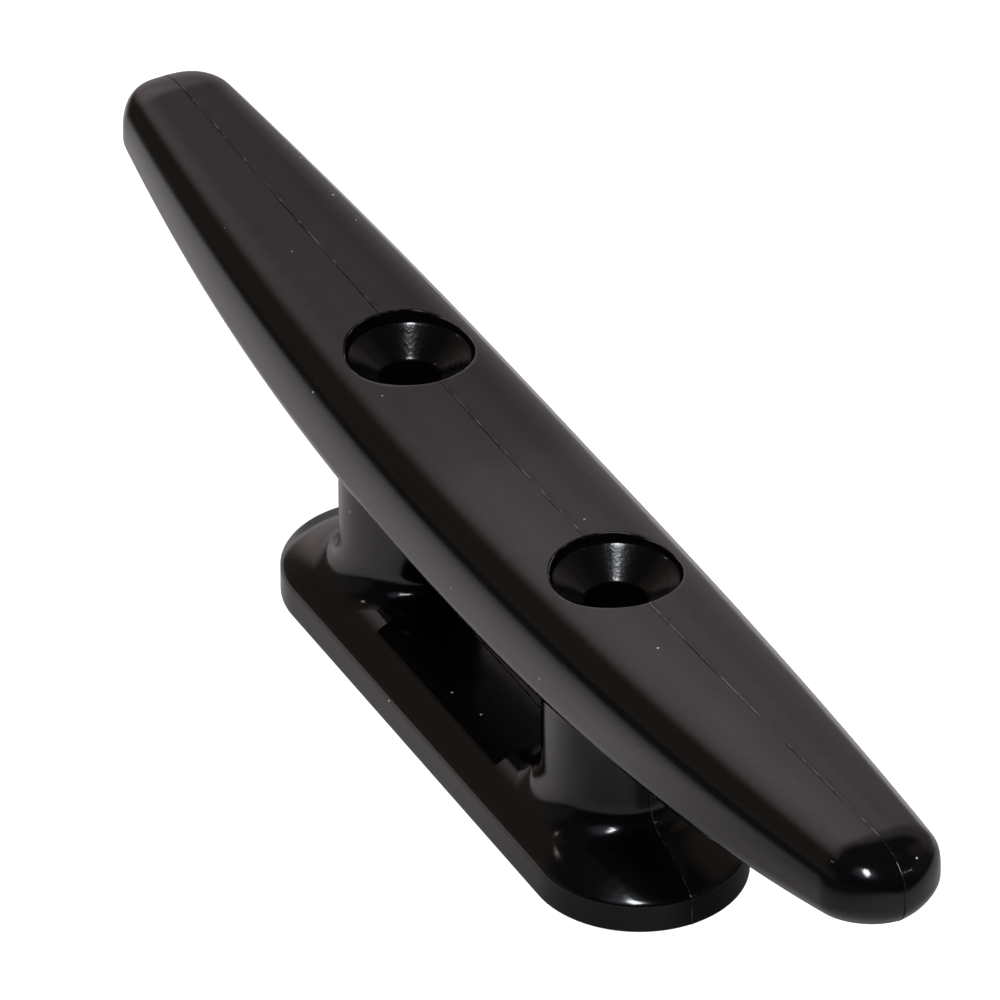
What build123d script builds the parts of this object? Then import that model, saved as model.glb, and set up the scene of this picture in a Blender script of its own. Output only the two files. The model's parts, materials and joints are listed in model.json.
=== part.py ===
from build123d import *
import math
import os

# Moulded nylon horn cleat, 152 mm (6 in) class, in millimetres.
# Origin: centre of the base's underside.  +X runs along the horns, +Z up from the deck.

# ---- driving dimensions ---------------------------------------------------------------

# Horn bar: plan, side profile and cross-section
bar_length = 152.0
bar_half_width = 10.25       # at mid length
bar_tip_taper = 0.463        # share of the half width lost by the tip
bar_taper_power = 2.2
bar_top_mid = 30.85          # height of the crown line at mid length
bar_top_rise = 2.3           # how much higher the crown line is at the tips
bar_top_power = 1.6
bar_belly_mid = 16.4         # height of the underside at mid length
bar_belly_rise = 9.0
bar_belly_power = 2.3
bar_widest_share = 0.4       # widest level, as a share of the thickness from below
bar_upper_power = 3.3        # superellipse power: flat top with rounded shoulders
bar_lower_power = 1.82       # nearly elliptical underside
tip_plan_length = 5.1        # length over which each tip rounds off, seen from above
tip_plan_power = 1.9
tip_side_length = 6.3        # the same, seen from the side
tip_side_power = 2.55
tip_close = 0.12             # size of the last section before the tip's point

# Screw holes
hole_spacing = 42.0
hole_radius = 2.95
countersink_radius = 6.05
countersink_top = 29.95      # the cone's wide end; a short steep wall stands above it
rim_radius = 6.35            # the steep wall's radius at rim_height, just clear of the bar's crown
rim_height = 31.6
countersink_bottom = 27.7    # the cone's narrow end

# Base
base_length = 72.8
base_width = 21.2
base_wall_height = 3.1
base_crown_height = 3.6
crown_flat_length = 53.6     # flat on top of the crown
crown_flat_width = 10.0
crown_side_power = 1.6
crown_end_power = 1.32

# Flat land between the posts
land_length = 24.8
land_width = 16.4
land_height = 5.75

# Posts
post_radius = 7.0
foot_round = 1.6             # concave round where a post flares into the base
foot_radius = 8.6            # outer radius of the flared foot
foot_turn = 38.0             # degrees that this round turns before it runs out on the crown

# Counts that set how finely curves are sampled
section_points = 28
body_sections = 11
tip_sections = 5

half_bar = bar_length / 2
base_top = base_wall_height + base_crown_height
post_places = {"fore_post": hole_spacing / 2, "aft_post": -hole_spacing / 2}


# ---- horn bar -------------------------------------------------------------------------

def signed_power(value, power):
    return math.copysign(abs(value) ** power, value)


def bar_profile(x):
    """Half width, crown height and belly height of the bar at x, before the tips round off."""
    u = abs(x) / half_bar
    half_width = bar_half_width * (1 - bar_tip_taper * u ** bar_taper_power)
    top = bar_top_mid + bar_top_rise * u ** bar_top_power
    belly = bar_belly_mid + bar_belly_rise * u ** bar_belly_power
    return half_width, top, belly


def tip_share(x, length, power):
    """Share of the full width or thickness left at x; it falls to nothing at a tip's end."""
    into_tip = max(0.0, (abs(x) - (half_bar - length)) / length)
    return max(0.0, 1 - into_tip ** power) ** (1 / power)


def bar_section(x):
    """Cross-section of the bar at x: a superellipse, squarer above than below."""
    half_width, top, belly = bar_profile(x)
    widest = belly + bar_widest_share * (top - belly)
    width_share = tip_share(x, tip_plan_length, tip_plan_power)
    height_share = tip_share(x, tip_side_length, tip_side_power)
    points = []
    for step in range(section_points):
        angle = 2 * math.pi * step / section_points
        upper = math.sin(angle) >= 0
        power = bar_upper_power if upper else bar_lower_power
        reach = top - widest if upper else widest - belly
        y = half_width * width_share * signed_power(math.cos(angle), 2 / power)
        z = widest + reach * height_share * signed_power(math.sin(angle), 2 / power)
        points.append(Vector(x, y, z))
    places = [step / section_points for step in range(section_points + 1)]
    return Face(Wire([Edge.make_spline(points, periodic=True, parameters=places)]))


def tip_point(side):
    _, top, belly = bar_profile(half_bar)
    return Vertex(side * half_bar, 0, belly + bar_widest_share * (top - belly))


def bar_stations():
    """Places along +X where the bar is sectioned, from mid length to the last one before the tip."""
    straight = half_bar - tip_side_length
    stations = [straight * step / (body_sections - 1) for step in range(body_sections)]
    last_turn = math.acos(tip_close)
    for step in range(1, tip_sections + 1):
        stations.append(straight + tip_side_length * math.sin(last_turn * step / tip_sections))
    return stations


def make_bar():
    stations = bar_stations()
    places = [-x for x in reversed(stations[1:])] + stations
    sections = [tip_point(-1)] + [bar_section(x) for x in places] + [tip_point(1)]
    return loft(sections)


# ---- base -----------------------------------------------------------------------------

def crown_section(share):
    """Rounded-end outline of the crown at a share of its height."""
    side_left = (1 - share ** crown_side_power) ** (1 / crown_side_power)
    end_left = (1 - share ** crown_end_power) ** (1 / crown_end_power)
    width = crown_flat_width + (base_width - crown_flat_width) * side_left
    length = crown_flat_length + (base_length - crown_flat_length) * end_left
    return Pos(0, 0, base_wall_height + base_crown_height * share) * SlotOverall(length, width)


def make_base():
    wall = extrude(SlotOverall(base_length, base_width), base_wall_height)
    crown = loft([crown_section(share) for share in (0, 0.25, 0.5, 0.75, 0.92, 1)])
    return wall + crown


def make_land_cutter():
    height = base_top
    return Pos(0, 0, land_height + height / 2) * Box(land_length, land_width, height)


# ---- screw holes ----------------------------------------------------------------------

def make_screw_cutter(x):
    """Countersunk hole, straight through from the crown of the bar to the underside."""
    above = bar_top_mid + 10
    outline = Polyline(
        (0, -1),
        (hole_radius, -1),
        (hole_radius, countersink_bottom),
        (countersink_radius, countersink_top),
        (rim_radius, rim_height),
        (rim_radius, above),
        (0, above),
        close=True,
    )
    profile = Plane.XZ * make_face(outline)
    return Pos(x, 0, 0) * revolve(profile, Axis.Z)


# ---- posts ----------------------------------------------------------------------------

def make_post(x, base, bar):
    """Round post on the crown of the base, with a flared foot, up into the bar's belly."""
    low = base_wall_height
    high = (bar_belly_mid + bar_top_mid) / 2
    turn = math.radians(foot_turn)
    round_end = (post_radius, base_top + foot_round)
    skirt_start = (
        post_radius + foot_round * (1 - math.cos(turn)),
        base_top + foot_round * (1 - math.sin(turn)),
    )
    skirt_fall = (foot_radius - skirt_start[0]) / math.tan(turn)
    skirt_end = (foot_radius, skirt_start[1] - skirt_fall)
    lines = [
        Polyline((0, high), (0, low), (foot_radius, low), skirt_end, skirt_start),
        TangentArc(round_end, skirt_start, tangent=(0, -1)),
        Polyline(round_end, (post_radius, high), (0, high)),
    ]
    profile = Plane.XZ * make_face(lines)
    return Pos(x, 0, 0) * revolve(profile, Axis.Z) - base - bar


# ---- assembly -------------------------------------------------------------------------

def one_solid(shape, node):
    solids = shape.solids()
    if len(solids) != 1:
        raise ValueError(f"{node} has {len(solids)} solids")
    return solids[0]


base = make_base()
bar = make_bar()
posts = {node: make_post(x, base, bar) for node, x in post_places.items()}
screw_cutters = [make_screw_cutter(x) for x in post_places.values()]
land_cutter = make_land_cutter()

nodes = {"base_plate": base - land_cutter, "horn_bar": bar}
for node, post in posts.items():
    nodes[node] = post - land_cutter

os.makedirs("parts", exist_ok=True)
for node, shape in nodes.items():
    for cutter in screw_cutters:
        shape = shape - cutter
    solid = one_solid(shape, node)
    solid.label = node
    export_step(solid, f"parts/{node}.step")
    print(node, round(solid.volume / 1000, 2), "cm3")
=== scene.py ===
import bisect
import json
import math

import bmesh
import bpy
from mathutils import Matrix, Vector, noise


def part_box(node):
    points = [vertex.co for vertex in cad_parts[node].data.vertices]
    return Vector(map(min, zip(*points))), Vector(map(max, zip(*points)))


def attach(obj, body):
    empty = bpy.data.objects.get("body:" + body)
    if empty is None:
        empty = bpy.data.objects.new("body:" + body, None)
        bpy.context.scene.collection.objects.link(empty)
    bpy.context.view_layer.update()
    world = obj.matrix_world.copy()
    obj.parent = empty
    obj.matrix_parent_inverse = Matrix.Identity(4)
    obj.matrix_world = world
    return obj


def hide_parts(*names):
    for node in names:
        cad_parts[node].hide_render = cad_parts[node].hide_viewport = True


# A moulded nylon horn cleat.  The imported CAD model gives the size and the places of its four
# members; each member is rebuilt here as a fine mesh with the small shapes that moulding leaves.
# Lengths in the mesh code are millimetres, in the frame of the CAD model.

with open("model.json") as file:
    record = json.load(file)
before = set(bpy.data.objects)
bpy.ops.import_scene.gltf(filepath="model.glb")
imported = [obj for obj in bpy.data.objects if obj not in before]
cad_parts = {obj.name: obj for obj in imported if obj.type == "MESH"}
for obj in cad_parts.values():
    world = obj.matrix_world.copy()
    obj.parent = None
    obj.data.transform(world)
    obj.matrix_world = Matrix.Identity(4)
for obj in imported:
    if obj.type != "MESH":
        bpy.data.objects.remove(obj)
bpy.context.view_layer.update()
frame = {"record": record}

MM = 0.001


def box_mm(node):
    low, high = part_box(node)
    return low / MM, high / MM


def mount(name):
    return next(m for m in frame["record"]["mounts"] if m["name"] == name)


# ---- sizes from the frame -------------------------------------------------------------

bar_low, bar_high = box_mm("horn_bar")
_, base_high = box_mm("base_plate")
HOLE_X = mount("fore_screw_hole")["pos_m"][0] / MM
HOLE_R = mount("fore_screw_hole")["dims"]["r_mm"]
LIP_Z = mount("fore_screw_hole")["dims"]["length_mm"]

# ---- shape of the horn bar ------------------------------------------------------------

HALF_BAR = bar_high.x
BAR_HALF_WIDTH = bar_high.y
TIP_TAPER = 0.463          # share of the half width lost by the tip
TAPER_POWER = 2.2
CROWN_MID = 30.85          # height of the crown line at mid length
CROWN_RISE = 2.3           # how much higher the crown line is at the tips
CROWN_POWER = 1.6
BELLY_MID = bar_low.z
BELLY_RISE = 9.0
BELLY_POWER = 2.3
WIDEST_SHARE = 0.4         # widest level, as a share of the thickness from below
UPPER_POWER = 3.3          # superellipse power: flat top with rounded shoulders
LOWER_POWER = 1.82         # nearly elliptical underside
PLAN_ROUND, PLAN_POWER = 5.1, 1.9    # rounding of a tip seen from above
SIDE_ROUND, SIDE_POWER = 6.3, 2.55   # and seen from the side

# How finely the bar is meshed
SECTION_STEPS = 64         # round half a section
SECTION_SAMPLES = 4000     # used to space those steps evenly
MIDDLE_STEPS = 16          # along the bar, inside the screw holes
OUTER_STEPS = 50           # and outside them
TIP_STEPS = 40

# ---- countersinks ---------------------------------------------------------------------

RIM_R = 6.27               # where the countersink's short wall meets the crown
CONE_R = 6.05
CONE_Z = 29.95             # foot of that wall, where the cone starts
RIM_MARGIN = 0.09          # the crown's own mesh stops this far outside the rim

# Rounds between the surfaces: distance past the edge's radius, and height from the edge
RIM_ROUND = ((0.03, -0.018), (0.0, -0.06), (-0.015, -0.16))
WALL_FOOT_ROUND = ((0.03, 0.14), (0.0, 0.0), (-0.2, -0.145))
LIP_ROUND = ((0.15, 0.11), (0.0, 0.0), (0.0, -0.2))
BORE_DEPTHS = (1.0, 3.0, 6.0)

WINDOW = 8.1               # half length of the stretch that is remeshed round a screw hole
WINDOW_STEPS = 32
WINDOW_EDGE = 0.8 * BAR_HALF_WIDTH
CROWN_PATCH_STEPS = 9
BELLY_PATCH_STEPS = 6
PATCH_EASE = 1.3           # above 1, a patch's rings lie closer together near the hole

# ---- base -----------------------------------------------------------------------------

BASE_HALF_LENGTH = base_high.x
BASE_HALF_WIDTH = base_high.y
BASE_CORE = BASE_HALF_LENGTH - BASE_HALF_WIDTH       # half length of its straight sides
BASE_TOP = base_high.z
WALL_TOP = 3.1             # height of the upright wall, up to the crisp rim
FLAT_HALF_LENGTH = 26.8    # flat on top of the crown
FLAT_HALF_WIDTH = 5.0
END_BEND = (31.5, 6.3)     # control points of the crown's curve over an end and over a side
SIDE_BEND = (8.4, 6.6)
LOWER_ROUND = 0.12         # round between the underside and the wall
RIM_DROP = 0.28            # the rim's round starts this far below the wall's top
RIM_START = 0.05           # and ends at this point of the crown's curve

LAND_Z = 5.75
LAND_HALF_LENGTH = 12.4
LAND_STEP = (-0.06, 0.1)   # the step at the land's end, from its foot to its top
LAND_STEP_LINES = (-0.12, -0.06, -0.02, 0.02, 0.06, 0.1, 0.16)
LAND_CLEAR = (-0.3, 0.4)   # the side's even lines keep out of this stretch round the step

# How finely the base is meshed
UNDERSIDE_SHARES = (0, 0.02, 0.06, 0.2, 0.4, 0.6, 0.8, 0.95)
WALL_LEVELS = (0.6, 1.3, 2.0, 2.6)
TOP_HALF_WIDTHS = (4.6, 4.0, 3.2, 2.4, 1.7, 1.1, 0.7)
SIDE_STEPS = 20
END_STEPS = 44
CROWN_STEPS = 38
EVEN_LENGTH = 14.0         # up to here, a side's points have the same x on every line
BISECTIONS = 40
DRILL_SEGMENTS = 96
SLIVER = 0.01              # size of the specks that are cleaned away after a boolean

# ---- posts ----------------------------------------------------------------------------

POST_R = 7.0
FOOT_REACH = 2.3           # how far the concave round at the foot stands out
FOOT_RISE = 2.6
NECK_REACH = 0.9           # and the one under the bar
NECK_RISE = 1.1
SEAT_R = 5.0               # middle of the hidden end faces, which lie inside the neighbours
SLOPE_STEP = 0.05          # distance over which a neighbour's slope is measured
POST_BORE_LEVELS = (14.0, 11.0, 9.0)
POST_STEPS = 36            # round a quarter of the post
POST_WALL_STEPS = 8
FOOT_STEPS = 10
NECK_STEPS = 8

# ---- parting line left by the mould ---------------------------------------------------

STEP_HEIGHT = 0.034        # mismatch of the two mould halves
STEP_HALF_WIDTH = 0.05
STEP_FADE = 0.45
STEP_MEAN, STEP_SWING = 0.85, 0.5    # share of that height, and how far it wanders
STEP_CELLS = 0.55          # noise cells in a millimetre
FLASH_HEIGHT = 0.07
FLASH_HALF_WIDTH = 0.05
FLASH_CELLS = 2.3
FLASH_LEVEL = 0.28         # noise above this leaves a fleck of flash
PARTING_REACH = (-0.06, 1.2)                           # from the centre plane, on either side
PARTING_LINES = (0.0, 0.025, 0.05, 0.08, 0.16, 0.35)   # distances at which meshes have a line
PARTING_CLEAR = 0.45       # no other line of a section is nearer to the centre plane

WELD = 0.0005
SHARP_ANGLE = math.radians(28.0)


# ---- mesh helpers ---------------------------------------------------------------------

def bend(a, b, c, t):
    """Point at t on the quadratic curve from a to c that leaves and arrives towards b."""
    return tuple((1 - t) ** 2 * p + 2 * t * (1 - t) * q + t * t * r for p, q, r in zip(a, b, c))


def spread(low, high, count):
    return [low + (high - low) * i / count for i in range(count + 1)]


def smooth(low, high, value):
    t = min(1.0, max(0.0, (value - low) / (high - low)))
    return t * t * (3 - 2 * t)


def signed_power(value, power):
    return math.copysign(abs(value) ** power, value)


class Sheet:
    """Collects vertices and faces in millimetres, then turns them into one piece."""

    def __init__(self):
        self.mesh = bmesh.new()

    def point(self, x, y, z):
        return self.mesh.verts.new((x, y, z))

    def ring(self, points):
        return [self.point(*p) for p in points]

    def face(self, *corners):
        unique = list(dict.fromkeys(corners))
        if len(unique) > 2:
            self.mesh.faces.new(unique)

    def bridge(self, lower, upper):
        """Quads between two closed rows of points of the same length."""
        for i in range(len(lower)):
            j = (i + 1) % len(lower)
            self.face(lower[i], lower[j], upper[j], upper[i])


def parting_step(point):
    """Height of the moulding's mismatch step and flash at a point near the centre plane."""
    x, y, z = point
    on_underside = z < 0.01
    in_screw_hole = z > LIP_Z - 1 and abs(abs(x) - HOLE_X) < RIM_R - 0.02
    if on_underside or in_screw_hole:
        return 0.0
    wander = noise.noise(Vector((x * STEP_CELLS, z * STEP_CELLS, 3.0)))
    size = STEP_HEIGHT * (STEP_MEAN + STEP_SWING * wander)
    fade = math.exp(-((max(0.0, y) / STEP_FADE) ** 2))
    step = size * smooth(-STEP_HALF_WIDTH, STEP_HALF_WIDTH, y) * fade
    speckle = noise.noise(Vector((x * FLASH_CELLS, z * FLASH_CELLS, 9.0)))
    fleck = max(0.0, speckle - FLASH_LEVEL)
    flash = FLASH_HEIGHT * fleck * math.exp(-((y / FLASH_HALF_WIDTH) ** 2))
    return step + flash


def finish_piece(sheet, name, node):
    """Welds the mesh, adds the parting line, and makes it the visible piece for a CAD node."""
    mesh = sheet.mesh
    bmesh.ops.remove_doubles(mesh, verts=mesh.verts, dist=WELD)
    bmesh.ops.recalc_face_normals(mesh, faces=mesh.faces)
    mesh.normal_update()
    low, high = PARTING_REACH
    moves = [(v, v.normal * parting_step(v.co)) for v in mesh.verts if low < v.co.y < high]
    for vertex, move in moves:
        vertex.co += move
    bmesh.ops.scale(mesh, vec=(MM, MM, MM), verts=mesh.verts)
    data = bpy.data.meshes.new(name)
    mesh.to_mesh(data)
    mesh.free()
    data.polygons.foreach_set("use_smooth", [True] * len(data.polygons))
    data.set_sharp_from_angle(angle=SHARP_ANGLE)
    piece = bpy.data.objects.new(name, data)
    bpy.context.scene.collection.objects.link(piece)
    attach(piece, "root")
    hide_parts(node)
    return piece


# ---- horn bar -------------------------------------------------------------------------

def bar_profile(x):
    """Half width, crown height and belly height of the bar at x, before the tips round off."""
    u = abs(x) / HALF_BAR
    half_width = BAR_HALF_WIDTH * (1 - TIP_TAPER * u ** TAPER_POWER)
    top = CROWN_MID + CROWN_RISE * u ** CROWN_POWER
    belly = BELLY_MID + BELLY_RISE * u ** BELLY_POWER
    return half_width, top, belly


def tip_share(x, length, power):
    """Share of the full width or thickness left at x; it falls to nothing at a tip's end."""
    into_tip = max(0.0, (abs(x) - (HALF_BAR - length)) / length)
    return max(0.0, 1 - into_tip ** power) ** (1 / power)


def bar_point(x, angle):
    """Point of the bar's surface at x; the angle runs from +Y over the crown, then under."""
    half_width, top, belly = bar_profile(x)
    widest = belly + WIDEST_SHARE * (top - belly)
    over = math.sin(angle) >= 0
    power, reach = (UPPER_POWER, top - widest) if over else (LOWER_POWER, widest - belly)
    across = signed_power(math.cos(angle), 2 / power)
    up = signed_power(math.sin(angle), 2 / power)
    y = half_width * tip_share(x, PLAN_ROUND, PLAN_POWER) * across
    z = widest + reach * tip_share(x, SIDE_ROUND, SIDE_POWER) * up
    return x, y, z


def bar_height(x, y, over):
    """Height of the crown, or of the belly, at a place well inside the bar's outline."""
    half_width, top, belly = bar_profile(x)
    widest = belly + WIDEST_SHARE * (top - belly)
    power, reach = (UPPER_POWER, top - widest) if over else (LOWER_POWER, belly - widest)
    return widest + reach * max(0.0, 1 - (abs(y) / half_width) ** power) ** (1 / power)


def section_angles():
    """Angles of evenly spaced points over the crown, plus lines beside the centre plane."""
    middle = math.pi / 2
    samples = spread(0.0, math.pi, SECTION_SAMPLES)
    points = [bar_point(0.0, angle) for angle in samples]
    travelled = [0.0]
    for (_, y0, z0), (_, y1, z1) in zip(points, points[1:]):
        travelled.append(travelled[-1] + math.hypot(y1 - y0, z1 - z0))
    marks = [travelled[-1] * i / SECTION_STEPS for i in range(SECTION_STEPS)]

    def lean(distance):
        """Angle from the middle at which the section is this far from the centre plane."""
        return math.pi / 2 - math.acos((distance / BAR_HALF_WIDTH) ** (UPPER_POWER / 2))

    angles = [samples[bisect.bisect_left(travelled, mark)] for mark in marks]
    angles = [angle for angle in angles if abs(angle - middle) > lean(PARTING_CLEAR)]
    for line in PARTING_LINES:
        angles += [middle - lean(line), middle + lean(line)] if line else [middle]
    return sorted(angles)


def bar_stations():
    """Places along the bar, with one even stretch, the window, round each screw hole."""
    window = spread(HOLE_X - WINDOW, HOLE_X + WINDOW, WINDOW_STEPS)
    middle = spread(0.0, window[0], MIDDLE_STEPS)[:-1]
    straight = HALF_BAR - SIDE_ROUND
    outer = spread(window[-1], straight, OUTER_STEPS)[1:]
    turns = spread(0.0, math.pi / 2, TIP_STEPS)[1:-1]
    tip = [straight + SIDE_ROUND * math.sin(turn) for turn in turns]
    half = middle + window + outer + tip
    return [-x for x in reversed(half[1:])] + half


def countersink_profile():
    """Radius and height down a screw hole: foot of the short wall, cone, lip and bore."""
    wall_foot = [(CONE_R + out, CONE_Z + rise) for out, rise in WALL_FOOT_ROUND]
    lip = [(HOLE_R + out, LIP_Z + rise) for out, rise in LIP_ROUND]
    (wide_r, high_z), (narrow_r, low_z) = wall_foot[-1], lip[0]
    profile = [bend(*wall_foot, t) for t in spread(0, 1, 4)]
    profile += [
        (wide_r + (narrow_r - wide_r) * share, high_z + (low_z - high_z) * share)
        for share in spread(0, 1, 10)[1:]
    ]
    profile += [bend(*lip, t) for t in spread(0, 1, 5)[1:]]
    return profile + [(HOLE_R, LIP_Z - depth) for depth in BORE_DEPTHS]


def window_border(rows, rows_in, columns):
    """Points round the edge of one window, in order."""
    first, last = columns[0], columns[-1]
    step = 1 if last > first else -1
    border = [rows[i][first] for i in rows_in]
    border += [rows[rows_in[-1]][j] for j in range(first + step, last + step, step)]
    border += [rows[i][last] for i in reversed(rows_in[:-1])]
    border += [rows[rows_in[0]][j] for j in range(last - step, first, -step)]
    return border


def cut_screw_hole(sheet, rows, stations, angles, half_count, hole_x):
    """Fills the window round one screw hole: rings that turn from its edge into the hole's."""
    rows_in = [i for i, x in enumerate(stations) if abs(x - hole_x) < WINDOW + 1e-6]
    over = [j for j in range(half_count) if abs(bar_point(hole_x, angles[j])[1]) < WINDOW_EDGE]
    under = [(len(angles) - j) % len(angles) for j in over]
    crown_border = window_border(rows, rows_in, over)
    belly_border = window_border(rows, rows_in, under)
    turns = [math.atan2(v.co.y, v.co.x - hole_x) for v in crown_border]

    def add_ring(previous, radius, height_at):
        places = [(hole_x + radius * math.cos(t), radius * math.sin(t)) for t in turns]
        ring = sheet.ring((x, y, height_at(x, y)) for x, y in places)
        sheet.bridge(previous, ring)
        return ring

    def patch(border, radius, over_side, steps):
        previous = border
        for k in range(1, steps + 1):
            share = 1 - (1 - k / steps) ** PATCH_EASE
            ring = []
            for vertex in border:
                away_x, away_y = vertex.co.x - hole_x, vertex.co.y
                away = math.hypot(away_x, away_y)
                reach = away + (radius - away) * share
                x, y = hole_x + away_x / away * reach, away_y / away * reach
                ring.append(sheet.point(x, y, bar_height(x, y, over_side)))
            sheet.bridge(previous, ring)
            previous = ring
        return previous

    ring = patch(crown_border, RIM_R + RIM_MARGIN, True, CROWN_PATCH_STEPS)
    for out, rise in RIM_ROUND:
        ring = add_ring(ring, RIM_R + out, lambda x, y: bar_height(x, y, True) + rise)
    for radius, height in countersink_profile():
        ring = add_ring(ring, radius, lambda x, y: height)
    sheet.bridge(ring, patch(belly_border, HOLE_R, False, BELLY_PATCH_STEPS))
    return rows_in, over, under


def make_bar():
    sheet = Sheet()
    over_crown = section_angles()
    half_count = len(over_crown)
    angles = over_crown + [2 * math.pi - angle for angle in reversed(over_crown)][:-1]
    stations = bar_stations()
    rows = [sheet.ring(bar_point(x, a) for a in angles) for x in stations]
    count = len(angles)
    windows = [
        cut_screw_hole(sheet, rows, stations, angles, half_count, hole_x)
        for hole_x in (HOLE_X, -HOLE_X)
    ]
    inside = set()
    inner = []
    for rows_in, over, under in windows:
        for columns in (over, under):
            low, high = min(columns), max(columns)
            inside |= {(i, j) for i in rows_in[:-1] for j in range(low, high)}
            inner += [v for i in rows_in[1:-1] for v in rows[i][low + 1:high]]
    for i in range(len(rows) - 1):
        for j in range(count):
            if (i, j) not in inside:
                k = (j + 1) % count
                sheet.face(rows[i][j], rows[i][k], rows[i + 1][k], rows[i + 1][j])
    _, top, belly = bar_profile(HALF_BAR)
    for row, side in ((rows[0], -1), (rows[-1], 1)):
        pole = sheet.point(side * HALF_BAR, 0, belly + WIDEST_SHARE * (top - belly))
        for j in range(count):
            sheet.face(row[j], row[(j + 1) % count], pole)
    bmesh.ops.delete(sheet.mesh, geom=inner, context="VERTS")
    return finish_piece(sheet, "horn_bar_moulding", "horn_bar")


# ---- base plate -----------------------------------------------------------------------

def crown_outline(t):
    """Half length, half width, and heights at the end and side, for one line of the crown."""
    end_x, end_z = bend((BASE_HALF_LENGTH, WALL_TOP), END_BEND, (FLAT_HALF_LENGTH, BASE_TOP), t)
    side_y, side_z = bend((BASE_HALF_WIDTH, WALL_TOP), SIDE_BEND, (FLAT_HALF_WIDTH, BASE_TOP), t)
    return end_x, side_y, end_z, side_z


def land_ceiling(x):
    """Greatest height allowed at x, which cuts the flat land between the posts."""
    foot, top = (LAND_HALF_LENGTH + offset for offset in LAND_STEP)
    return LAND_Z + (BASE_TOP + 0.1 - LAND_Z) * smooth(foot, top, abs(x))


def outline_point(outline, station):
    """A place round one line of the base: along a straight side, or round an end."""
    half_length, half_width, end_z, side_z = outline
    centre = half_length - half_width
    kind, value, sign = station
    if kind == "side":
        beyond = max(0.0, value - EVEN_LENGTH) / (BASE_CORE - EVEN_LENGTH)
        x = min(value, EVEN_LENGTH) + (centre - EVEN_LENGTH) * beyond
        return sign[0] * x, sign[1] * half_width, min(side_z, land_ceiling(x))
    x, y = centre + half_width * math.cos(value), half_width * math.sin(value)
    height = end_z * math.cos(value) ** 2 + side_z * math.sin(value) ** 2
    return sign[0] * x, sign[1] * y, height


def base_stations():
    """Places round every line of the base: what each one is, where, and in which quarter."""
    before, after = (LAND_HALF_LENGTH + offset for offset in LAND_CLEAR)
    sides = spread(0, before, SIDE_STEPS)
    sides += [LAND_HALF_LENGTH + offset for offset in LAND_STEP_LINES]
    sides += spread(after, BASE_CORE, SIDE_STEPS)[:-1]
    arcs = [line / BASE_HALF_WIDTH for line in PARTING_LINES]
    arcs = sorted(arcs + spread(0, math.pi / 2, END_STEPS)[1:])
    quarter = [("end", a) for a in arcs] + [("side", x) for x in reversed(sides)]
    loop = []
    for index, sign in enumerate(((1, 1), (-1, 1), (-1, -1), (1, -1))):
        part = quarter if index % 2 == 0 else reversed(quarter)
        loop += [(kind, value, sign) for kind, value in part]
    return loop


def base_outlines():
    """Lines of the base from the middle of the underside, out, up the wall, and over the crown."""
    length, width = BASE_HALF_LENGTH, BASE_HALF_WIDTH
    lines = [(BASE_CORE + width * s, width * s, 0.0, 0.0) for s in UNDERSIDE_SHARES]
    for t in spread(0, 1, 3):
        inset, z = bend((LOWER_ROUND, 0.0), (0.0, 0.0), (0.0, LOWER_ROUND), t)
        lines.append((length - inset, width - inset, z, z))
    lines += [(length, width, z, z) for z in WALL_LEVELS]
    rim_x, rim_y, rim_end_z, rim_side_z = crown_outline(RIM_START)
    below = WALL_TOP - RIM_DROP
    for t in spread(0, 1, 6)[:-1]:
        end_x, end_z = bend((length, below), (length, WALL_TOP), (rim_x, rim_end_z), t)
        side_y, side_z = bend((width, below), (width, WALL_TOP), (rim_y, rim_side_z), t)
        lines.append((end_x, side_y, end_z, side_z))
    lines += [crown_outline(t) for t in spread(RIM_START, 1.0, CROWN_STEPS)]
    core = FLAT_HALF_LENGTH - FLAT_HALF_WIDTH
    for half_width in TOP_HALF_WIDTHS + tuple(reversed(PARTING_LINES)):
        lines.append((core + half_width, half_width, BASE_TOP, BASE_TOP))
    return lines


def base_height(x, y):
    """Height of the crown at a place on the base, without the land."""
    x, y = abs(x), abs(y)

    def outside(t):
        half_length, half_width = crown_outline(t)[:2]
        return math.hypot(max(0.0, x - (half_length - half_width)), y) - half_width

    if outside(1.0) < 0:
        return BASE_TOP
    low, high = 0.0, 1.0
    for _ in range(BISECTIONS):
        middle = (low + high) / 2
        if outside(middle) < 0:
            low = middle
        else:
            high = middle
    half_length, half_width, end_z, side_z = crown_outline(low)
    turn = math.atan2(y, max(0.0, x - (half_length - half_width)))
    return end_z * math.cos(turn) ** 2 + side_z * math.sin(turn) ** 2


def make_base():
    sheet = Sheet()
    stations = base_stations()
    rows = [
        sheet.ring(outline_point(outline, station) for station in stations)
        for outline in base_outlines()
    ]
    for lower, upper in zip(rows, rows[1:]):
        sheet.bridge(lower, upper)
    piece = finish_piece(sheet, "base_plate_moulding", "base_plate")
    for hole_x in (HOLE_X, -HOLE_X):
        drill(piece, hole_x)
    drop_slivers(piece)
    return piece


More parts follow.
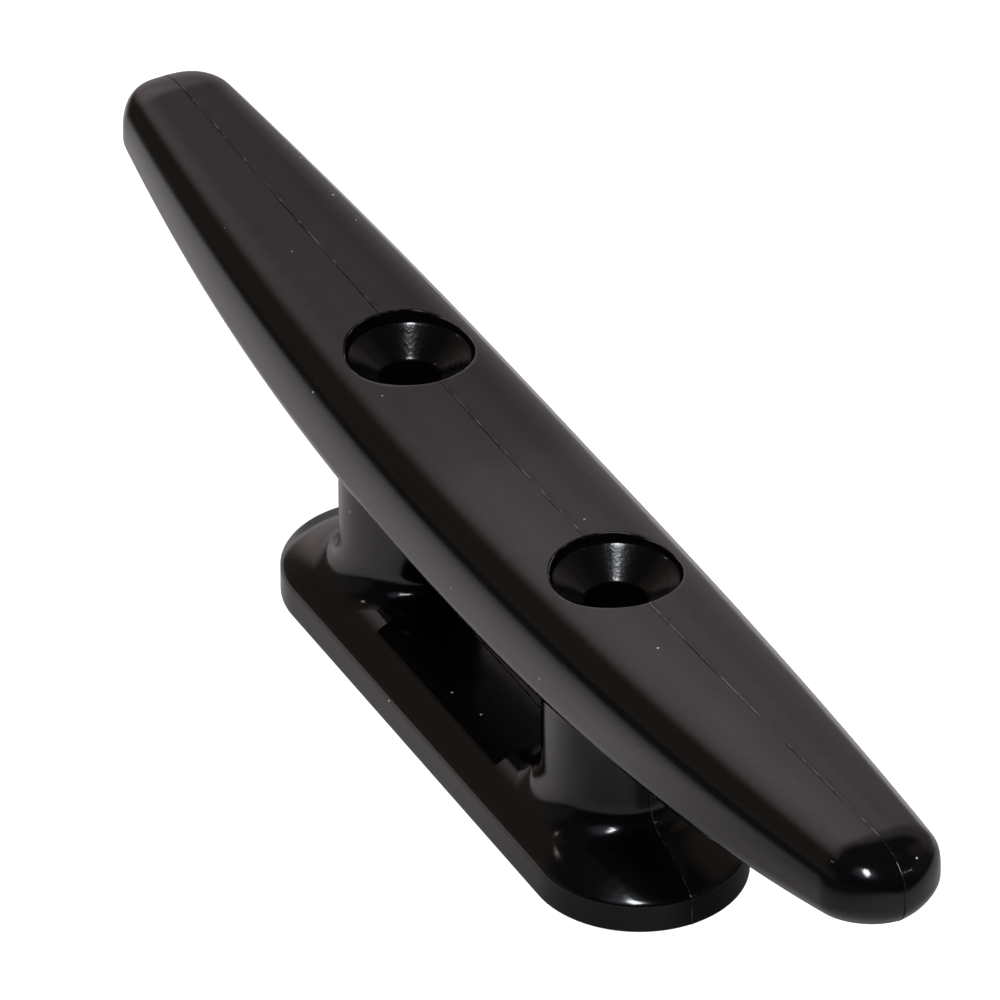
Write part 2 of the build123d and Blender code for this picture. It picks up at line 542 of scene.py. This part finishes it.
def drill(piece, hole_x):
    """Cuts one screw hole through the base with a boolean."""
    cutter_mesh = bmesh.new()
    bmesh.ops.create_cone(
        cutter_mesh, cap_ends=True, segments=DRILL_SEGMENTS,
        radius1=HOLE_R * MM, radius2=HOLE_R * MM, depth=3 * BASE_TOP * MM,
        matrix=Matrix.Translation((hole_x * MM, 0, BASE_TOP / 2 * MM)),
    )
    data = bpy.data.meshes.new("drill")
    cutter_mesh.to_mesh(data)
    cutter_mesh.free()
    cutter = bpy.data.objects.new("drill", data)
    bpy.context.scene.collection.objects.link(cutter)
    cut = piece.modifiers.new("hole", "BOOLEAN")
    cut.operation = "DIFFERENCE"
    cut.solver = "EXACT"
    cut.object = cutter
    bpy.context.view_layer.update()
    evaluated = piece.evaluated_get(bpy.context.evaluated_depsgraph_get())
    cut_mesh = bpy.data.meshes.new_from_object(evaluated)
    piece.modifiers.clear()
    piece.data = cut_mesh
    piece.data.name = piece.name
    bpy.data.objects.remove(cutter)


def drop_slivers(piece):
    """Removes the doubled specks of face that the booleans leave along the parting line."""
    mesh = bmesh.new()
    mesh.from_mesh(piece.data)
    bmesh.ops.triangulate(mesh, faces=[face for face in mesh.faces if len(face.verts) > 4])
    bmesh.ops.dissolve_degenerate(mesh, edges=mesh.edges, dist=SLIVER * MM)
    specks = {
        face for edge in mesh.edges if len(edge.link_faces) > 2
        for face in edge.link_faces if face.calc_area() < (SLIVER * MM) ** 2
    }
    bmesh.ops.delete(mesh, geom=list(specks), context="FACES")
    mesh.to_mesh(piece.data)
    mesh.free()
    piece.data.set_sharp_from_angle(angle=SHARP_ANGLE)


# ---- posts ----------------------------------------------------------------------------

def blend_round(turn, hole_x, surface, reach, rise, steps):
    """Concave round from a surface to the post's wall, at one turn round the post's axis."""
    def at(radius):
        return surface(hole_x + radius * math.cos(turn), radius * math.sin(turn))

    outer = POST_R + reach
    slope = (at(outer + SLOPE_STEP) - at(outer - SLOPE_STEP)) / (2 * SLOPE_STEP)
    corner_z = at(outer) - slope * reach
    ends = (outer, at(outer)), (POST_R, corner_z), (POST_R, corner_z + rise)
    return [bend(*ends, t) for t in spread(0, 1, steps)]


def belly_height(x, y):
    return bar_height(x, y, False)


def make_post(name, node, hole_x):
    sheet = Sheet()
    turns = [line / POST_R for line in PARTING_LINES if line]
    even = spread(0, math.pi / 2, POST_STEPS)[1:-1]
    quarter = [turn for turn in even if turn > turns[-1]] + turns
    half = sorted(quarter + [math.pi - t for t in quarter] + [math.pi / 2])
    half = [0.0] + half + [math.pi]
    circle = half + [2 * math.pi - t for t in reversed(half[1:-1])]
    columns = []
    for turn in circle:
        foot = blend_round(turn, hole_x, base_height, FOOT_REACH, FOOT_RISE, FOOT_STEPS)
        neck = blend_round(turn, hole_x, belly_height, NECK_REACH, -NECK_RISE, NECK_STEPS)
        foot_z, neck_z = foot[-1][1], neck[-1][1]
        shares = spread(0, 1, POST_WALL_STEPS)[1:-1]
        (foot_r, foot_edge_z), (neck_r, neck_edge_z) = foot[0], neck[0]
        line = [(HOLE_R, BASE_TOP - 0.05), (SEAT_R, BASE_TOP - 1.0), (foot_r, foot_edge_z - 0.06)]
        line += foot
        line += [(POST_R, foot_z + (neck_z - foot_z) * share) for share in shares]
        line += reversed(neck)
        line += [(neck_r, neck_edge_z + 0.05), (SEAT_R, neck_edge_z + 0.3)]
        line += [(HOLE_R, BELLY_MID + 0.4)] + [(HOLE_R, z) for z in POST_BORE_LEVELS]
        columns.append(sheet.ring(
            (hole_x + r * math.cos(turn), r * math.sin(turn), z) for r, z in line
        ))
    for i, column in enumerate(columns):
        sheet.bridge(column, columns[(i + 1) % len(columns)])
    return finish_piece(sheet, name, node)


# ---- material -------------------------------------------------------------------------

class Nodes:
    """Short calls for building a node tree."""

    def __init__(self, tree):
        self.tree = tree

    def add(self, kind, settings=None, **inputs):
        made = self.tree.nodes.new("ShaderNode" + kind)
        for key, value in (settings or {}).items():
            setattr(made, key, value)
        for key, value in inputs.items():
            self.put(made.inputs[key.replace("_", " ")], value)
        return made

    def put(self, socket, value):
        if isinstance(value, bpy.types.NodeSocket):
            self.tree.links.new(value, socket)
        else:
            socket.default_value = value

    def math(self, operation, a, b=0.0):
        made = self.tree.nodes.new("ShaderNodeMath")
        made.operation = operation
        self.put(made.inputs[0], a)
        self.put(made.inputs[1], b)
        return made.outputs[0]

    def times(self, first, *others):
        for other in others:
            first = self.math("MULTIPLY", first, other)
        return first

    def hypotenuse(self, a, b):
        squares = self.math("POWER", a, 2.0), self.math("POWER", b, 2.0)
        return self.math("SQRT", self.math("ADD", *squares))

    def band(self, value, low, high, to_low=0.0, to_high=1.0):
        """Eases from to_low at low to to_high at high."""
        made = self.tree.nodes.new("ShaderNodeMapRange")
        made.interpolation_type = "SMOOTHSTEP"
        for socket, part in zip(made.inputs, (value, low, high, to_low, to_high)):
            self.put(socket, part)
        return made.outputs[0]

    def band_mm(self, value, low, high, to_low=0.0, to_high=1.0):
        return self.band(value, low * MM, high * MM, to_low, to_high)

    def mark(self, value, middle, inner, outer):
        """1 within inner millimetres of the middle, easing to 0 at outer."""
        beside = self.math("ABSOLUTE", self.math("SUBTRACT", value, middle * MM))
        return self.band_mm(beside, inner, outer, 1.0, 0.0)

    def noise(self, place, scale, detail):
        return self.add("TexNoise", Vector=place, Scale=scale, Detail=detail).outputs["Fac"]

    def vector(self, operation, a, b):
        made = self.add("VectorMath", {"operation": operation})
        self.put(made.inputs[0], a)
        self.put(made.inputs[1], b)
        return made.outputs

    def dot(self, a, b):
        return self.vector("DOT_PRODUCT", a, b)["Value"]

    def scaled(self, vector, scale):
        made = self.add("VectorMath", {"operation": "SCALE"}, Scale=scale)
        self.put(made.inputs[0], vector)
        return made.outputs[0]

    def mix(self, factor, a, b):
        made = self.add("Mix", {"data_type": "RGBA"}, Factor=factor, A=a, B=b)
        return made.outputs["Result"]


# Colours of the plastic, of dust, and of the plastic where it is whitened or burred; on the rims
# this whitening also paints the rims' highlight
PLASTIC = (0.0022, 0.0020, 0.0021, 1)
DUST = (0.6, 0.58, 0.55, 1)
WHITENED = (0.10, 0.098, 0.10, 1)

# Noise: cells per metre, and detail
BROAD_NOISE = (90.0, 3.0)
FINE_NOISE = (1400.0, 2.0)
PEEL_NOISE = (420.0, 2.0)
FLECK_NOISE = (520.0, 3.0)
GAP_NOISE = (150.0, 2.0)
TORN_NOISE = (2600.0, 3.0)

IOR = 1.5
BROAD_GLOSS = (0.3, 0.7, 0.085, 0.125)     # roughness that drifts over the whole piece
FINE_GLOSS = (0.35, 0.65, 0.0, 0.03)       # and what fine grain adds to it
CONE_ROUGHNESS = 0.045
PEEL_DEPTH = 0.0035                        # relief of the surface, in millimetres
GRAIN_DEPTH = 0.0008
TORN_DEPTH = 0.016

DUST_SCALE = 400.0
DUST_SPOT = (0.035, 0.06, 1.0, 0.0)        # a speck's full and outer radius, in cells
DUST_SHARE = (0.70, 0.71)                  # cells above this level hold a speck

# Marks of the mould, and the rims' painted highlight, in millimetres: middle, half width in full,
# and half width at the edge
STEP_MARK = (0.03, 0.04, 0.075)
CREASE_MARK = (-0.075, 0.06, 0.12)
RIM_MARK = (RIM_R + 0.055, 0.03, 0.06)
STEP_FLECKS = (0.48, 0.62, 0.1, 1.0)       # how noise breaks each of them up
CREASE_GAPS = (0.38, 0.60, 0.35, 1.0)
RIM_FLECKS = (0.42, 0.60)

SPECULAR = 0.5                             # the shader's specular level, and how much is
WALL_DULL = 0.5                            # taken off it in these places
CREASE_DULL = 0.4
LAND_DULL = 0.3
CONE_DULL = 0.10


def parting_masks(nodes, place, across, height, from_axis):
    """Whitening along the parting line, whitened burr and a painted highlight round the rims, and
    the dull crease beside the step.
    """
    flecks = nodes.noise(place, *FLECK_NOISE)
    gaps = nodes.noise(place, *GAP_NOISE)
    clear_of_hole = nodes.band_mm(from_axis, RIM_R, RIM_R + 0.06)
    above_lip = nodes.band_mm(height, LIP_Z, CONE_Z)
    seam = nodes.times(
        nodes.mark(across, *STEP_MARK), nodes.band(flecks, *STEP_FLECKS), clear_of_hole
    )
    # Round the countersinks' rims: burr, and a painted highlight along the rim's edge.
    burr_and_rim_highlight = nodes.times(
        nodes.mark(from_axis, *RIM_MARK), nodes.band(flecks, *RIM_FLECKS), above_lip
    )
    white = nodes.math("MAXIMUM", seam, burr_and_rim_highlight)
    crease = nodes.times(
        nodes.mark(across, *CREASE_MARK), nodes.band(gaps, *CREASE_GAPS), clear_of_hole
    )
    return white, crease


def hole_masks(nodes, height, from_axis):
    """1 on the countersinks' cones, and 1 on the short walls above them."""
    in_cone = nodes.times(
        nodes.band_mm(from_axis, CONE_R - 0.02, CONE_R - 0.12),
        nodes.band_mm(height, LIP_Z - 0.1, LIP_Z),
    )
    in_wall = nodes.times(
        nodes.band_mm(from_axis, CONE_R - 0.04, CONE_R),
        nodes.band_mm(from_axis, RIM_R - 0.02, RIM_R, 1.0, 0.0),
        nodes.band_mm(height, LIP_Z, LIP_Z + 0.1),
    )
    return in_cone, in_wall


def land_mask(nodes, along, height):
    """1 on the flat land between the posts."""
    from_middle = nodes.math("ABSOLUTE", along)
    return nodes.times(
        nodes.band_mm(from_middle, LAND_HALF_LENGTH - 0.2, LAND_HALF_LENGTH - 0.1, 1.0, 0.0),
        nodes.band_mm(height, LAND_Z - 0.2, LAND_Z - 0.1),
        nodes.band_mm(height, LAND_Z + 0.2, LAND_Z + 0.3, 1.0, 0.0),
    )


def black_nylon():
    """Glossy black moulded nylon, with uneven gloss, fine grain, torn cones and a little dust."""
    material = bpy.data.materials.new("black_nylon")
    material.use_nodes = True
    nodes = Nodes(material.node_tree)
    shader = material.node_tree.nodes["Principled BSDF"]
    place = nodes.add("TexCoord").outputs["Object"]
    along, across, height = nodes.add("SeparateXYZ", Vector=place).outputs
    from_hole = nodes.math("SUBTRACT", nodes.math("ABSOLUTE", along), HOLE_X * MM)
    from_axis = nodes.hypotenuse(from_hole, across)
    white, crease = parting_masks(nodes, place, across, height, from_axis)
    in_cone, in_wall = hole_masks(nodes, height, from_axis)

    cells = nodes.add("TexVoronoi", Vector=place, Scale=DUST_SCALE).outputs
    level = nodes.add("SeparateColor", Color=cells["Color"]).outputs[0]
    dust = nodes.times(
        nodes.band(cells["Distance"], *DUST_SPOT), nodes.band(level, *DUST_SHARE)
    )
    dusty = nodes.mix(dust, PLASTIC, DUST)
    nodes.put(shader.inputs["Base Color"], nodes.mix(white, dusty, WHITENED))

    fine = nodes.noise(place, *FINE_NOISE)
    broad = nodes.noise(place, *BROAD_NOISE)
    gloss = nodes.math("ADD", nodes.band(broad, *BROAD_GLOSS), nodes.band(fine, *FINE_GLOSS))
    roughness = nodes.math("ADD", gloss, nodes.times(in_cone, CONE_ROUGHNESS))
    nodes.put(shader.inputs["Roughness"], roughness)
    nodes.put(shader.inputs["IOR"], IOR)

    dull = nodes.times(in_wall, WALL_DULL)
    on_land = land_mask(nodes, along, height)
    for mask, share in ((crease, CREASE_DULL), (in_cone, CONE_DULL), (on_land, LAND_DULL)):
        dull = nodes.math("MAXIMUM", dull, nodes.times(mask, share))
    nodes.put(shader.inputs["Specular IOR Level"], nodes.math("SUBTRACT", SPECULAR, dull))

    torn = nodes.times(nodes.noise(place, *TORN_NOISE), in_cone, TORN_DEPTH * MM)
    peel = nodes.times(nodes.noise(place, *PEEL_NOISE), PEEL_DEPTH * MM)
    grain = nodes.times(fine, GRAIN_DEPTH * MM)
    relief = nodes.math("ADD", nodes.math("ADD", torn, peel), grain)
    bump = nodes.add("Bump", Height=relief, Distance=1.0, Strength=1.0)
    nodes.put(shader.inputs["Normal"], bump.outputs["Normal"])
    return material


# ---- camera ---------------------------------------------------------------------------

VIEW_AZIMUTH = math.radians(62.26)
VIEW_ELEVATION = math.radians(34.65)
VIEW_ROLL = math.radians(0.12)
VIEW_DISTANCE = 1.0455
VIEW_AIM = Vector((-0.01134, 0.00472, 0.0177))
FOCAL_LENGTH = 390.9
SENSOR_WIDTH = 36.0


def view_direction(azimuth, elevation):
    """Unit vector from the object to a place round it; azimuth 0 is -Y and 90 is +X."""
    flat = math.cos(elevation)
    return Vector((math.sin(azimuth) * flat, -math.cos(azimuth) * flat, math.sin(elevation)))


def toward(turn, elevation):
    """Unit vector from the object; the turn is in degrees from +X towards +Y."""
    return view_direction(math.radians(turn + 90), math.radians(elevation))


def make_camera():
    back = view_direction(VIEW_AZIMUTH, VIEW_ELEVATION)
    right = Vector((math.cos(VIEW_AZIMUTH), math.sin(VIEW_AZIMUTH), 0.0))
    up = back.cross(right)
    roll = Matrix.Rotation(VIEW_ROLL, 3, back)
    data = bpy.data.cameras.new("camera")
    data.lens = FOCAL_LENGTH
    data.sensor_width = SENSOR_WIDTH
    data.clip_end = 50
    camera = bpy.data.objects.new("camera", data)
    axes = Matrix((roll @ right, roll @ up, back)).transposed().to_4x4()
    camera.matrix_world = Matrix.Translation(VIEW_AIM + VIEW_DISTANCE * back) @ axes
    bpy.context.scene.collection.objects.link(camera)
    bpy.context.scene.camera = camera


# ---- floor and room -------------------------------------------------------------------

# Lengths on the floor are metres.  A band holds where it starts and ends, then its two values.
FLOOR_SIZE = 6
FLOOR_GAP = 0.0001
FLOOR_LIFT = 1.05
FLOOR_TINT = (1.0, 0.91, 0.91)
FLOOR_GLOW = 0.05
# Painted light and shadow in the table's colour: it fades in front, far away and along x like a
# pool of lamplight, and is darker by the base's end and beside its sides to paint their shadows.
PAINTED_FADE_TURN = -80                           # the painted light on the table fades out in front, on this side
PAINTED_FADE_FRONT = (0.030, 0.115, 0.38, 0.0)
PAINTED_FADE_REACH = (0.12, 0.30, 1.0, 0.0)
PAINTED_FADE_ALONG = (0.005, 0.030, 1.08, 0.60)
PAINTED_END_SHADOW_PLACE = (0.034, -0.013, 0.0)
PAINTED_END_SHADOW = (0.004, 0.012, 0.75, 1.0)
CONTACT_REACH = 0.022                      # the shade beside the base ends here
CONTACT_SHADE = 0.66
WALL_BASE_GLOW = (0.06, 0.18, 0.0, 0.35)

# The white wall behind the cleat: where it stands, how its ends fade in degrees, and how bright
# it is.  Its left end leans with height, and its top edge slopes.
WALL_TURN = 152
WALL_LEFT_END = (46, 66)
WALL_RIGHT_END = (-72, -46)
WALL_LEAN, WALL_LEAN_START = 0.91, 0.59
WALL_SLOPE = 0.2
WALL_UPPER_EDGE = (0.62, 0.74, 1.0, 0.0)
WALL_FALL = (-0.76, -0.695, 1.28, 0.5)     # along X
WALL_TINT = (1.0, 0.85, 0.89)
WALL_LEVEL = 0.47

# Soft patches of the room that the gloss reflects: turn, elevation, full radius and outer
# radius in degrees, and radiance.  The first lies on the wall.
WALL_GLOW = (172, 43, 0, 26, 0.39)
ROOM = (
    (0, 90, 0, 180, (0.036, 0.035, 0.037)),
    (-160, 18, 14, 44, (0.12, 0.088, 0.062)),
    (-108, -2, 14, 34, (0.10, 0.098, 0.096)),
    (62, 25, 10, 32, (0.06, 0.06, 0.062)),
    (98, 46, 6, 18, (0.13, 0.10, 0.075)),
    (-38, 54, 6, 24, (0.34, 0.36, 0.52)),
)
MATT_LIGHT = (0.25, 0.25, 0.25, 1)
WHITE = (1, 1, 1, 1)


def before_wall(nodes, place, lean=0.0):
    """1 towards the white wall behind the cleat, easing to 0 past its two ends."""
    across = nodes.dot(place, toward(WALL_TURN + 90, 0))
    ahead = nodes.dot(place, toward(WALL_TURN, 0))
    off = nodes.math("ARCTAN2", across, ahead)
    left, right = (
        [math.radians(angle) for angle in end] for end in (WALL_LEFT_END, WALL_RIGHT_END)
    )
    left_end = nodes.band(nodes.math("SUBTRACT", off, lean), *left, 1.0, 0.0)
    return nodes.times(left_end, nodes.band(off, *right))


def painted_table_light(nodes, place, away):
    """Painted light and shadow in the matt table's colour: it fades in front, far away and along x
    like a pool of lamplight, and darkens by the base's end and sides as their shadow.
    """
    front = nodes.dot(place, toward(PAINTED_FADE_TURN, 0))
    x, y, _ = nodes.add("SeparateXYZ", Vector=place).outputs
    from_end = nodes.vector("DISTANCE", place, PAINTED_END_SHADOW_PLACE)["Value"]
    past_side = nodes.math("SUBTRACT", nodes.math("ABSOLUTE", x), BASE_CORE * MM)
    from_base = nodes.hypotenuse(nodes.math("MAXIMUM", past_side, 0.0), y)
    return nodes.times(
        nodes.band(from_end, *PAINTED_END_SHADOW),
        nodes.band(front, *PAINTED_FADE_FRONT),
        nodes.band(away, *PAINTED_FADE_REACH),
        nodes.band(x, *PAINTED_FADE_ALONG),
        nodes.band(from_base, BASE_HALF_WIDTH * MM, CONTACT_REACH, CONTACT_SHADE, 1.0),
    )


def make_floor():
    """White table: lit by the lamps, and lifted to clean white where the camera sees it."""
    bpy.ops.mesh.primitive_plane_add(size=FLOOR_SIZE, location=(0, 0, -FLOOR_GAP))
    floor = bpy.context.object
    floor.name = "floor"
    material = bpy.data.materials.new("floor")
    material.use_nodes = True
    nodes = Nodes(material.node_tree)
    shader = material.node_tree.nodes["Principled BSDF"]
    nodes.put(shader.inputs["Roughness"], 1.0)
    nodes.put(shader.inputs["Specular IOR Level"], 0.0)

    place = nodes.add("TexCoord").outputs["Object"]
    away = nodes.add("VectorMath", {"operation": "LENGTH"}, Vector=place).outputs["Value"]
    # Painted light and shadow: the table's colour fades like a pool of lamplight and darkens by
    # the base as its shadow.
    bright = painted_table_light(nodes, place, away)
    nodes.put(shader.inputs["Base Color"], nodes.scaled(FLOOR_TINT, bright))

    path = nodes.add("LightPath").outputs
    # Painted light: in reflections the table glows a little everywhere, and more with distance
    # towards the white wall.
    wall_base = nodes.times(before_wall(nodes, place), nodes.band(away, *WALL_BASE_GLOW))
    glow = nodes.times(path["Is Glossy Ray"], nodes.math("ADD", wall_base, FLOOR_GLOW))
    lift = nodes.times(path["Is Camera Ray"], FLOOR_LIFT)
    nodes.put(shader.inputs["Emission Color"], WHITE)
    nodes.put(shader.inputs["Emission Strength"], nodes.math("ADD", glow, lift))

    # From below, the table is clear, so that the underside can be seen.
    clear = nodes.add("BsdfTransparent").outputs["BSDF"]
    side = nodes.add("MixShader")
    nodes.put(side.inputs[0], nodes.add("NewGeometry").outputs["Backfacing"])
    nodes.put(side.inputs[1], shader.outputs["BSDF"])
    nodes.put(side.inputs[2], clear)
    surface = material.node_tree.nodes["Material Output"].inputs["Surface"]
    nodes.put(surface, side.outputs[0])
    floor.data.materials.append(material)
    return floor


def soft_patch(nodes, where, aim, to_low=0.0, to_high=1.0):
    """Eases from to_low to to_high round one direction of the room."""
    turn, elevation, full, outer = aim
    edge, middle = math.cos(math.radians(outer)), math.cos(math.radians(full))
    return nodes.band(nodes.dot(where, toward(turn, elevation)), edge, middle, to_low, to_high)


def wall_light(nodes, where):
    """What the gloss sees of the white wall."""
    x, _, height = nodes.add("SeparateXYZ", Vector=where).outputs
    lean = nodes.math("SUBTRACT", nodes.times(height, WALL_LEAN), WALL_LEAN_START)
    across = nodes.dot(where, toward(WALL_TURN + 90, 0))
    level = nodes.math("SUBTRACT", height, nodes.times(across, WALL_SLOPE))
    *aim, strength = WALL_GLOW
    bright = nodes.times(
        before_wall(nodes, where, lean),
        nodes.band(level, *WALL_UPPER_EDGE),
        soft_patch(nodes, where, aim, WALL_LEVEL, WALL_LEVEL + strength),
        nodes.band(x, *WALL_FALL),
    )
    return nodes.scaled(WALL_TINT, bright)


def make_room():
    """World light: even and dim for matt light, and the room's soft patches for reflections."""
    world = bpy.data.worlds.new("room")
    bpy.context.scene.world = world
    world.use_nodes = True
    nodes = Nodes(world.node_tree)
    where = nodes.add("TexCoord").outputs["Generated"]
    total = wall_light(nodes, where)
    for *aim, radiance in ROOM:
        patch = nodes.scaled(radiance, soft_patch(nodes, where, aim))
        total = nodes.vector("ADD", total, patch)[0]
    path = nodes.add("LightPath").outputs
    light = nodes.mix(path["Is Glossy Ray"], MATT_LIGHT, total)
    background = world.node_tree.nodes["Background"]
    nodes.put(background.inputs[0], nodes.mix(path["Is Camera Ray"], light, WHITE))
    bpy.context.scene.view_settings.view_transform = "Standard"


# ---- lamps ----------------------------------------------------------------------------

LAMP_DISTANCE = 1.2
LAMP_LIFT = Vector((0, 0, 0.015))
COOL = (0.93, 0.97, 1.0)


def area_light(name, spot, size, power, colour=(1, 1, 1), tall=None, distance=LAMP_DISTANCE,
               only=None):
    """A round or oval light facing the object.

    A light with a receiver lights nothing else, and isn't seen in the gloss.
    """
    data = bpy.data.lights.new(name, "AREA")
    data.shape = "ELLIPSE"
    data.size = size
    data.size_y = tall or size
    data.energy = power
    data.color = colour
    light = bpy.data.objects.new(name, data)
    light.location = spot * distance + LAMP_LIFT
    light.rotation_mode = "QUATERNION"
    light.rotation_quaternion = spot.to_track_quat("Z", "Y")
    light.visible_glossy = only is None
    light.visible_camera = False
    bpy.context.scene.collection.objects.link(light)
    if only:
        light.light_linking.receiver_collection = only


make_camera()
make_room()
floor = make_floor()

table_only = bpy.data.collections.new("table_only")
table_only.objects.link(floor)

area_light("key", toward(-29, 60), 0.2, 8.0, COOL, tall=0.52)
area_light("flash", toward(-31, 45), 0.10, 0.5, COOL)
area_light("left_lamp", toward(-128, 39), 0.024, 0.08)
area_light("right_lamp", toward(38, 39), 0.03, 0.04)
area_light("table_key", toward(-34, 60), 0.2, 11.0, only=table_only)
area_light("table_fill", toward(0, 90), 2.5, 14.0, distance=2.0, only=table_only)

# ---- the cleat ------------------------------------------------------------------------

pieces = [
    make_bar(),
    make_base(),
    make_post("fore_post_moulding", "fore_post", HOLE_X),
    make_post("aft_post_moulding", "aft_post", -HOLE_X),
]
nylon = black_nylon()
for piece in pieces:
    piece.data.materials.clear()
    piece.data.materials.append(nylon)
